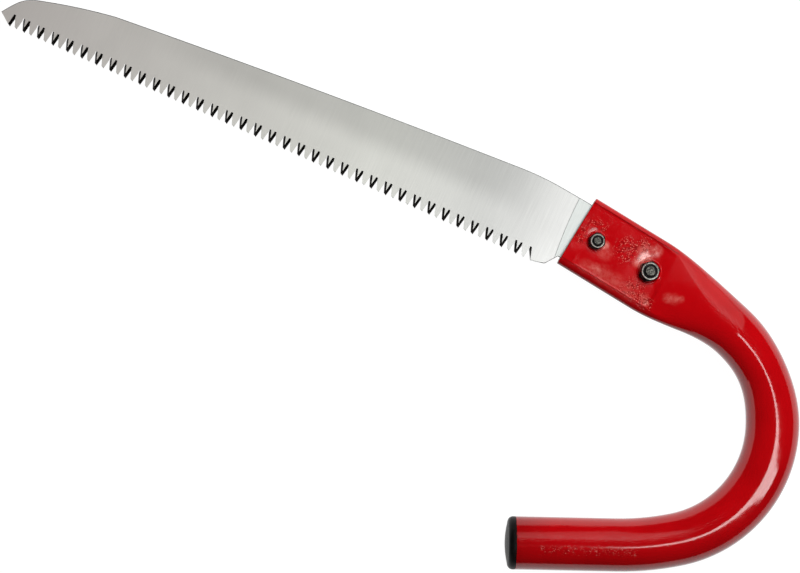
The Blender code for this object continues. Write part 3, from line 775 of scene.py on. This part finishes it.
blackSteel = speckled("blackSteel", {
    "fixed": {"Metallic": 0.85}, "toneGrain": (700, 4, 0.6), "toneRange": (0.35, 0.7),
    "fineGrain": (3200, 3, 0.6), "dark": (0.010, 0.010, 0.011, 1), "light": (0.034, 0.033, 0.032, 1),
    "roughness": (0.26, 0.42), "bump": (0.02 * mm, 0.5)})
rimWearAndHighlight = speckled("rimWearAndHighlight", {                 # the collar's edge: rubbed bright, and lighter still as a painted highlight of the light it catches
    "fixed": {"Metallic": 1.0}, "toneGrain": (1500, 4, 0.6), "toneRange": (0.35, 0.6),
    "fineGrain": (1500, 4, 0.6), "dark": (0.15, 0.145, 0.13, 1), "light": (0.44, 0.43, 0.39, 1),
    "roughness": (0.22, 0.40), "bump": (0.02 * mm, 0.4)})
darkEnd = speckled("darkEnd", {                     # the cut end of a bolt
    "fixed": {"Metallic": 0.7}, "toneGrain": (1500, 4, 0.65), "toneRange": (0.44, 0.62),
    "fineGrain": (1500, 4, 0.65), "dark": (0.016, 0.016, 0.015, 1), "light": (0.20, 0.20, 0.17, 1),
    "roughness": (0.35, 0.55), "bump": (0.03 * mm, 0.5)})
ringNylon = speckled("ringNylon", {
    "fixed": {"IOR": 1.5}, "toneGrain": (2400, 3), "fineGrain": (2400, 3),
    "dark": (0.0015, 0.0015, 0.0016, 1), "light": (0.004, 0.004, 0.0042, 1),
    "roughness": (0.28, 0.42), "bump": (0.02 * mm, 0.4)})

fastenings = {
    "front": {"boltRadius": 2.5 * mm, "acrossFlats": 8.0 * mm, "nutHeight": 5.0 * mm, "hexHeight": 3.6 * mm,
              "collarRadius": 3.8 * mm, "pitch": 0.8 * mm, "turn": 1.5},
    "rear": {"boltRadius": 3.0 * mm, "acrossFlats": 10.0 * mm, "nutHeight": 6.0 * mm, "hexHeight": 4.4 * mm,
             "collarRadius": 4.7 * mm, "pitch": 1.0 * mm, "turn": 45.5},
}
nutShape = {
    "sunk": 0.06 * mm,           # nut and head stand a little into the paint
    "chamferStart": 0.94,        # share of the flats' radius where the corners are chamfered
    "softening": 0.10 * mm,
    "boreGap": 0.12 * mm,
    "rimWidth": 0.75 * mm,
    "rimRounding": 0.30 * mm,
    "rimInside": 0.16 * mm,
    "ringDepth": 0.30 * mm,
    "threadLength": 2.2 * mm,
    "threadDepth": 0.14 * mm,
    "threadRings": 40,
}
turnSteps = 96
tinyRadius = 0.02 * mm     # a turned shape ends in a flat this small


def hexRadius(angle, acrossFlats, softening):
    corner = acrossFlats / 2 / math.cos(math.radians(30))
    wrapped = (math.degrees(angle) + 30) % 60 - 30          # 0 at a corner
    straight = acrossFlats / 2 / math.cos(math.radians(30 - abs(wrapped)))
    return min(straight, corner - softening)


def turnedRings(profile, centre, turn, acrossFlats=None, softening=0.0, thread=None):
    # a profile of (radius, height, cut by the hexagon or not) is turned round an upright axis
    rings = []
    for radius, height, hexagonal in profile:
        ring = []
        for step in range(turnSteps):
            angle = 2 * math.pi * step / turnSteps
            reach = radius
            if hexagonal:
                reach = min(radius, hexRadius(angle, acrossFlats, softening))
            if thread and thread["low"] < height < thread["high"]:
                phase = ((height - thread["low"]) / thread["pitch"] - step / turnSteps) % 1.0
                reach -= thread["depth"] * (1 - abs(2 * phase - 1))
            heading = angle + math.radians(turn)
            ring.append((centre.x + reach * math.cos(heading), centre.y + reach * math.sin(heading),
                         midHeight + height))
        rings.append(ring)
    return rings


def sharedSizes(label, spec):
    # what the nut, its ring and its bolt share, with heights from the blade's middle
    size = dict(spec)
    size["flat"] = spec["acrossFlats"] / 2
    size["corner"] = size["flat"] / math.cos(math.radians(30))
    size["chamferFlat"] = size["flat"] * nutShape["chamferStart"]
    size["chamfer"] = (size["corner"] - size["chamferFlat"]) * math.tan(math.radians(30))
    size["seat"] = pressed["seatHeight"] - nutShape["sunk"]
    size["bore"] = spec["boltRadius"] + nutShape["boreGap"]
    size["ringBore"] = spec["collarRadius"] - nutShape["rimWidth"]
    size["top"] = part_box(label + "_nut")[1].z - midHeight
    size["ringTop"] = size["top"] - nutShape["ringDepth"]
    boltLow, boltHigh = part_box(label + "_bolt")
    size["boltTop"] = boltHigh.z - midHeight
    size["headFoot"] = boltLow.z - midHeight
    return size


def nutProfile(size):
    flat, corner, collar = size["flat"], size["corner"], size["collarRadius"]
    seat, top, chamfer = size["seat"], size["top"], size["chamfer"]
    hexTop = top - size["nutHeight"] + size["hexHeight"]
    profile = [(size["bore"], seat, False), (size["chamferFlat"], seat, True),
               (corner - 0.1 * mm, seat + chamfer * 0.9, True), (corner, seat + chamfer, True)]
    for step in range(1, 8):
        profile.append((corner, mix(seat + chamfer, hexTop - chamfer, step / 8), True))
    for step in range(0, 7):
        share = step / 6
        profile.append((mix(corner, size["chamferFlat"], share), hexTop - chamfer + chamfer * share, True))
    profile += [(flat * 0.90, hexTop + 0.02 * mm, True), (collar + 0.35 * mm, hexTop + 0.03 * mm, False),
                (collar + 0.08 * mm, hexTop + 0.14 * mm, False), (collar, hexTop + 0.30 * mm, False)]
    rimIndex = len(profile) - 1
    lip = nutShape["rimRounding"]
    profile.append((collar, top - lip, False))
    for step in range(1, 7):
        angle = math.radians(15 * step)
        profile.append((collar - lip + lip * math.cos(angle), top - lip + lip * math.sin(angle), False))
    lip = nutShape["rimInside"]
    for step in range(1, 5):
        angle = math.radians(22.5 * step)
        profile.append((size["ringBore"] + lip - lip * math.sin(angle), top - lip + lip * math.cos(angle),
                        False))
    profile += [(size["ringBore"], size["ringTop"] - 0.5 * mm, False),
                (size["bore"], size["ringTop"] - 0.6 * mm, False)]
    return profile, rimIndex


def ringProfile(size):
    bore, ringBore, top = size["bore"], size["ringBore"], size["ringTop"]
    return [(bore, top - 0.45 * mm, False), (bore, top - 0.18 * mm, False),
            (bore + 0.10 * mm, top - 0.06 * mm, False), (mix(bore, ringBore, 0.5), top, False),
            (ringBore - 0.05 * mm, top - 0.04 * mm, False), (ringBore + 0.02 * mm, top - 0.12 * mm, False),
            (ringBore + 0.02 * mm, top - 0.45 * mm, False)]


def boltProfile(size, threadLow):
    radius, top, foot = size["boltRadius"], size["boltTop"], size["headFoot"]
    flat, corner, seat = size["flat"], size["corner"], size["seat"]
    profile = [(tinyRadius, top, False), (radius * 0.40, top, False),
               (radius - 0.62 * mm, top - 0.02 * mm, False), (radius - 0.50 * mm, top - 0.07 * mm, False),
               (radius - 0.06 * mm, top - 0.50 * mm, False)]
    endFaces = len(profile) - 2
    steps = nutShape["threadRings"]
    for step in range(1, steps + 1):
        profile.append((radius, mix(top - 0.55 * mm, threadLow, step / steps), False))
    profile += [(radius, -seat + 0.02 * mm, False), (corner - 0.1 * mm, -seat, True),
                (corner, -seat - 0.12 * mm, True)]
    for step in range(1, 8):
        profile.append((corner, mix(-seat - 0.12 * mm, foot + size["chamfer"], step / 8), True))
    for step in range(0, 7):
        share = step / 6
        profile.append((mix(corner, size["chamferFlat"], share), foot + size["chamfer"] * (1 - share), True))
    profile += [(flat * 0.90, foot, True), (flat * 0.80, foot, False), (flat * 0.74, foot + 0.12 * mm, False),
                (flat * 0.4, foot + 0.12 * mm, False), (tinyRadius, foot + 0.12 * mm, False)]
    return profile, endFaces


def markRings(build, isSecond):
    # the second material goes on the rings that the test picks
    build.faces.ensure_lookup_table()
    for index, face in enumerate(build.faces):
        face.material_index = 1 if isSecond(index // turnSteps) else 0


def addFastening(label, spec, place):
    size = sharedSizes(label, spec)
    turn = spec["turn"] + socketHeading + 180
    hexagon = (spec["acrossFlats"], nutShape["softening"])
    nut, rimIndex = nutProfile(size)
    build = loftRings(turnedRings(nut, place, turn, *hexagon), looped=True)
    markRings(build, lambda ring: rimIndex <= ring < len(nut) - 2)
    nutPiece = addPiece(label + "Nut", build, [blackSteel, rimWearAndHighlight], [label + "_nut"], 28.0)
    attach(nutPiece, "root")

    build = loftRings(turnedRings(ringProfile(size), place, 0.0), looped=True)
    ringPiece = addPiece(label + "NutRing", build, [ringNylon], [label + "_nut_insert"], 60.0)
    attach(ringPiece, "root")

    threadLow = size["boltTop"] - nutShape["threadLength"]
    thread = {"low": threadLow, "high": size["boltTop"] - 0.45 * mm, "pitch": spec["pitch"],
              "depth": nutShape["threadDepth"]}
    bolt, endFaces = boltProfile(size, threadLow)
    build = loftRings(turnedRings(bolt, place, turn, *hexagon, thread), capEnds=True)
    markRings(build, lambda ring: ring < endFaces)
    boltPiece = addPiece(label + "Bolt", build, [blackSteel, darkEnd], [label + "_bolt"], 28.0)
    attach(boltPiece, "root")
    return nutPiece, boltPiece


bareMetal = [blade]
for label, spec in fastenings.items():
    bareMetal += addFastening(label, spec, fromMouth(bolts[label]["fromMouth"], bolts[label]["offAxis"]))
print("fastenings done")

# End cap

cap = {
    "rimRounding": 2.9 * mm,
    "dome": 1.4 * mm,
    "stemLength": 16.0 * mm,
    "stemRadius": 12.1 * mm,
    "ribRadius": 12.9 * mm,
    "ribSpacing": 4.6 * mm,
    "ribs": 3,
    "rib": ((0.0, False), (0.6 * mm, True), (1.2 * mm, True), (1.9 * mm, False)),     # along, raised
    "seam": ((0.0, 0.5 * mm), (0.05 * mm, 0.15 * mm), (0.25 * mm, 0.0)),     # in from the round, out
    "stemWall": 2.2 * mm,
    "headWall": 3 * mm,
    "curveSteps": 8,
}
capPlastic = speckled("capPlastic", {
    "fixed": {"IOR": 1.45, "Specular IOR Level": 0.12}, "toneGrain": (160, 4, 0.6),
    "toneRange": (0.35, 0.75), "fineGrain": (2300, 3, 0.6), "dark": (0.0030, 0.0028, 0.0028, 1),
    "light": (0.0085, 0.0075, 0.0070, 1), "roughness": (0.34, 0.48), "bump": (0.05 * mm, 0.5)})


def addCap():
    # a profile of radius and distance out from the end of the tube, turned round the grip's axis
    headFace = gripEnd.x - capLow.x
    profile = [(tinyRadius, headFace)]
    domeEdge = tubeRadius - cap["rimRounding"]
    steps = cap["curveSteps"]
    for step in range(1, steps + 1):
        share = step / steps
        profile.append((domeEdge * share, headFace - cap["dome"] * share ** 2))
    for step in range(1, steps + 1):
        angle = math.radians(90) * step / steps
        profile.append((domeEdge + cap["rimRounding"] * math.sin(angle),
                        headFace - cap["dome"] - cap["rimRounding"] * (1 - math.cos(angle))))
    profile += [(tubeRadius - less, out) for less, out in cap["seam"]]
    profile.append((cap["stemRadius"], 0.0))
    for index in range(cap["ribs"]):
        foot = -cap["ribSpacing"] * (index + 0.5)
        profile += [(cap["ribRadius"] if raised else cap["stemRadius"], foot - run)
                    for run, raised in cap["rib"]]
    inside = cap["stemRadius"] - cap["stemWall"]
    profile += [(cap["stemRadius"], -cap["stemLength"]), (inside, -cap["stemLength"]),
                (inside, headFace - cap["headWall"]), (tinyRadius, headFace - cap["headWall"])]
    rings = []
    for radius, out in profile:
        ring = []
        for step in range(turnSteps):
            angle = 2 * math.pi * step / turnSteps
            ring.append((gripEnd.x - out, gripEnd.y + radius * math.cos(angle),
                         midHeight + radius * math.sin(angle)))
        rings.append(ring)
    return loftRings(rings, capEnds=True)


capPiece = addPiece("endCap", addCap(), [capPlastic], ["end_cap"], 40.0)
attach(capPiece, "root")
print("end cap done")

# Floor, lights and camera

studio = {
    "floorSize": 8.0,
    "worldStrength": 0.03,
    "cameraHeight": 0.95,
    "cameraShift": (0.0007, 0.0004),
    "cameraTurn": 1.2,
    "pictureWidth": 0.4338,
    "sensorWidth": 36,
}
# each lamp's place, size, brightness, whether it shows in reflections, and what it points at
lamps = {
    "key": ((0.30, 0.26, 0.66), (0.4, 0.4), 16.8, False, (0.11, 0.0, 0.0)),
    "box": ((0.7224, 1.1125, 0.8947), (1.1, 1.85), 0.7, True, (0, 0, 0)),
    "strip": ((0.72, -0.36, 1.2), (0.20, 1.05), 10, True, (0, 0, 0)),
    "overhead": ((0.0, 0.0, 1.4), (1.6, 1.6), 0.9, True, (0, 0, 0)),
}

floorMesh = bpy.data.meshes.new("floor")
build = bmesh.new()
bmesh.ops.create_grid(build, x_segments=2, y_segments=2, size=studio["floorSize"] / 2)
build.to_mesh(floorMesh)
build.free()
floor = bpy.data.objects.new("floor", floorMesh)
bpy.context.scene.collection.objects.link(floor)
floorPaint = Finish("floorPaint", {"Roughness": 0.9, "Specular IOR Level": 0.0, "Emission Strength": 1.0})
paper = floorPaint.grain(floorPaint.place(), 3, 2)
floorPaint.feed("Base Color", floorPaint.colours(paper, (0.05, 0.05, 0.05, 1), (0.06, 0.06, 0.06, 1)))
floorPaint.feed("Emission Color", floorPaint.colours(paper, (0.99, 0.99, 0.99, 1), (1.0, 1.0, 1.0, 1)))
floorMesh.materials.append(floorPaint.material)


def addLamp(name, place, size, brightness, seen, target):
    # brightness is the radiance of the lit face
    light = bpy.data.lights.new(name, "AREA")
    light.shape = "RECTANGLE"
    light.size, light.size_y = size
    light.energy = brightness * math.pi * size[0] * size[1]
    lamp = bpy.data.objects.new(name, light)
    lamp.location = place
    lamp.rotation_euler = (Vector(target) - Vector(place)).to_track_quat("-Z", "Y").to_euler()
    lamp.visible_glossy = seen
    lamp.visible_diffuse = not seen
    bpy.context.scene.collection.objects.link(lamp)
    return lamp


added = {name: addLamp(name, *lamp) for name, lamp in lamps.items()}
metalOnly = bpy.data.collections.new("metalOnly")     # the overhead lamp lights only these
for piece in bareMetal:
    metalOnly.objects.link(piece)
added["overhead"].light_linking.receiver_collection = metalOnly

world = bpy.data.worlds.new("studio")
bpy.context.scene.world = world
world.use_nodes = True
background = world.node_tree.nodes["Background"]
background.inputs["Color"].default_value = (1.0, 1.0, 1.0, 1)
background.inputs["Strength"].default_value = studio["worldStrength"]

cameraData = bpy.data.cameras.new("camera")
camera = bpy.data.objects.new("camera", cameraData)
bpy.context.scene.collection.objects.link(camera)
cameraData.sensor_width = studio["sensorWidth"]
cameraData.lens = studio["sensorWidth"] * studio["cameraHeight"] / studio["pictureWidth"]
camera.location = (*studio["cameraShift"], midHeight + studio["cameraHeight"])
camera.rotation_euler = (0, 0, math.radians(studio["cameraTurn"]))
bpy.context.scene.camera = camera
bpy.context.scene.view_settings.view_transform = "Standard"
print("studio done")
